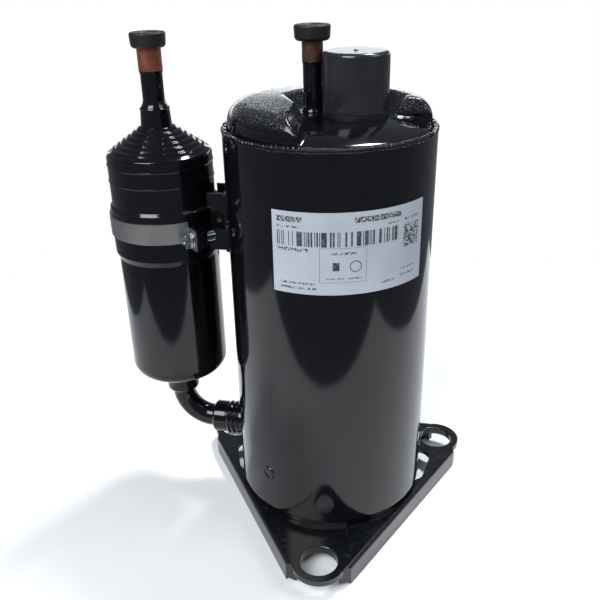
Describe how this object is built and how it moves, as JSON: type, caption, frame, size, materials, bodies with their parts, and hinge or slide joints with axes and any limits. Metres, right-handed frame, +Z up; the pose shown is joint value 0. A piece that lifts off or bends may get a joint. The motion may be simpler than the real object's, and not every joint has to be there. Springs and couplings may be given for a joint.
{
  "type": "refrigeration rotary compressor",
  "caption": "Hermetic rotary compressor: upright welded shell on a three-foot plate, side suction accumulator, top discharge tube and covered terminals.",
  "frame": {"origin": "centre of the circle of mounting holes, in the underside of the base plate, on the axis of the shell", "axes": "+Z up along the shell's axis, -Y towards the front foot and the name label's side, -X towards the accumulator"},
  "size_m": [0.1915, 0.1386, 0.2574],
  "materials": {
    "black_gloss_paint": "glossy black enamel",
    "black_satin_paint": "satin black paint",
    "copper": "bare dull copper",
    "black_rubber": "matt moulded rubber",
    "cover_plastic": "fine moulded texture",
    "label_film": "printed polyester film",
    "zinc_steel": "bright zinc plating",
    "stainless_strip": "rolled stainless strip",
    "bare_steel": "oiled bare steel",
    "ground_steel": "fine ground steel",
    "cast_iron": "machined cast iron",
    "electrical_steel": "stacked laminations",
    "cast_aluminium": "die cast",
    "balance_brass": "machined brass",
    "winding_enamel": "enamelled copper wire",
    "sealing_glass": "fused sealing glass",
    "lead_sleeve": "woven polyester sleeve",
    "plug_plastic": "moulded resin",
    "spring_steel": "drawn spring wire"
  },
  "bodies": {
    "housing": {"shell_tube": "black_gloss_paint", "bottom_cap": "black_gloss_paint", "top_cap": "black_gloss_paint", "top_weld_bead": "black_gloss_paint", "bottom_weld_bead": "black_gloss_paint", "shell_plug_welds": "black_gloss_paint", "base_plate": "black_gloss_paint", "base_plate_welds": "black_gloss_paint", "discharge_tube": "black_gloss_paint", "discharge_tube_end": "copper", "suction_tube": "black_gloss_paint", "suction_tube_end": "copper", "accumulator_lower_shell": "black_gloss_paint", "accumulator_upper_shell": "black_gloss_paint", "accumulator_weld": "black_gloss_paint", "accumulator_standpipe": "bare_steel", "accumulator_baffle": "bare_steel", "accumulator_screen": "bare_steel", "suction_bushing": "black_gloss_paint", "suction_elbow": "black_gloss_paint", "accumulator_ferrule": "black_gloss_paint", "suction_sleeve": "black_gloss_paint", "clamp_band": "stainless_strip", "clamp_bracket": "black_satin_paint", "bracket_welds": "black_satin_paint", "clamp_screw": "zinc_steel", "clamp_washer": "zinc_steel", "clamp_weld_nut": "black_satin_paint", "name_label": "label_film", "terminal_body": "bare_steel", "terminal_glass_beads": "sealing_glass", "terminal_pins": "bare_steel", "terminal_gasket": "black_rubber", "lead_plug": "plug_plastic", "motor_leads": "lead_sleeve", "cylinder_block": "cast_iron", "vane_spring": "spring_steel", "main_bearing": "cast_iron", "reed_root": "spring_steel", "valve_stop": "ground_steel", "valve_rivet": "bare_steel", "muffler": "bare_steel", "pump_bolts": "bare_steel", "sub_bearing": "cast_iron", "stator_core": "electrical_steel", "stator_windings": "winding_enamel"},
    "shaft": {"crankshaft": "ground_steel", "oil_paddle": "bare_steel", "rotor_core": "electrical_steel", "rotor_end_rings": "cast_aluminium", "balance_weight_upper": "balance_brass", "balance_weight_lower": "balance_brass"},
    "roller": {"rolling_piston": "ground_steel"},
    "vane_body": {"vane": "ground_steel"},
    "reed_body": {"discharge_reed": "spring_steel"},
    "suction_plug_body": {"suction_plug": "black_rubber"},
    "discharge_plug_body": {"discharge_plug": "black_rubber"},
    "cover_body": {"terminal_cover": "cover_plastic"}
  },
  "joints": [
    {"name": "shaft_spin", "type": "hinge", "parent": "housing", "child": "shaft", "pos_m": [0, 0, 0.08], "axis": [0, 0, 1], "continuous": true},
    {"name": "roller_spin", "type": "hinge", "parent": "shaft", "child": "roller", "pos_m": [-0.00287, 0.00217, 0.033], "axis": [0, 0, 1], "continuous": true},
    {"name": "vane_slide", "type": "slide", "parent": "housing", "child": "vane_body", "axis": [-0.7986, 0.6018, 0], "range_m": [0, 0.0008]},
    {"name": "reed_lift", "type": "hinge", "parent": "housing", "child": "reed_body", "pos_m": [0.00522, 0.02153, 0.04952], "axis": [-0.4848, 0.8746, 0], "range_deg": [0, 6]},
    {"name": "suction_plug_lift", "type": "slide", "parent": "housing", "child": "suction_plug_body", "axis": [0, 0, 1], "range_m": [0, 0.06]},
    {"name": "discharge_plug_lift", "type": "slide", "parent": "housing", "child": "discharge_plug_body", "axis": [0, 0, 1], "range_m": [0, 0.06]},
    {"name": "terminal_cover_lift", "type": "slide", "parent": "housing", "child": "cover_body", "axis": [0, 0, 1], "range_m": [0, 0.003]}
  ],
  "couplings": [
    {"joint": "roller_spin", "follows": "shaft_spin", "ratio": -1}
  ]
}
